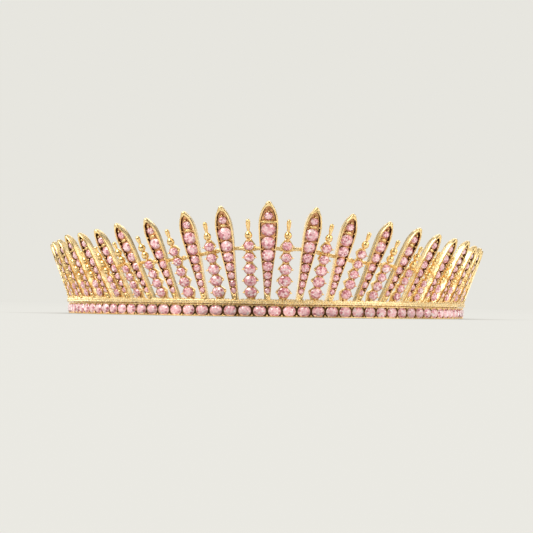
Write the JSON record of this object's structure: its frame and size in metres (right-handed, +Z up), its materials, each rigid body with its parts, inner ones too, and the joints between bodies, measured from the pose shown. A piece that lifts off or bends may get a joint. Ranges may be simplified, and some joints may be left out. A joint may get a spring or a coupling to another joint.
{
  "type": "tiara",
  "caption": "Horseshoe fringe tiara: a base band with a row of round stones carries leaning stone-set blades and columns with beaded finials; worn on the head, rests flat.",
  "frame": {"origin": "under the middle of the bounding box, on the plane that the base band rests on", "axes": "+Z up from the resting plane, -Y towards the front of the tiara, +X to the right in the picture"},
  "size_m": [0.1628, 0.1184, 0.039],
  "materials": {
    "gold": "polished pale champagne gold plating, darker orange gold in the recesses",
    "rose_stones": "foil-backed light rose crystal, faceted and set in gold"
  },
  "bodies": {
    "root": {"band": "gold", "base_row": "rose_stones", "blade_01": "gold", "blade_02": "gold", "blade_03": "gold", "blade_04": "gold", "blade_05": "gold", "blade_06": "gold", "blade_07": "gold", "blade_08": "gold", "blade_09": "gold", "blade_10": "gold", "blade_11": "gold", "blade_12": "gold", "blade_13": "gold", "blade_14": "gold", "blade_15": "gold", "blade_16": "gold", "blade_17": "gold", "blade_18": "gold", "blade_19": "gold", "blade_20": "gold", "blade_21": "gold", "column_01": "gold", "column_02": "gold", "column_03": "gold", "column_04": "gold", "column_05": "gold", "column_06": "gold", "column_07": "gold", "column_08": "gold", "column_09": "gold", "column_10": "gold", "column_11": "gold", "column_12": "gold", "column_13": "gold", "column_14": "gold", "column_15": "gold", "column_16": "gold", "column_17": "gold", "column_18": "gold", "column_19": "gold", "column_20": "gold", "link_wire": "gold"}
  },
  "joints": []
}
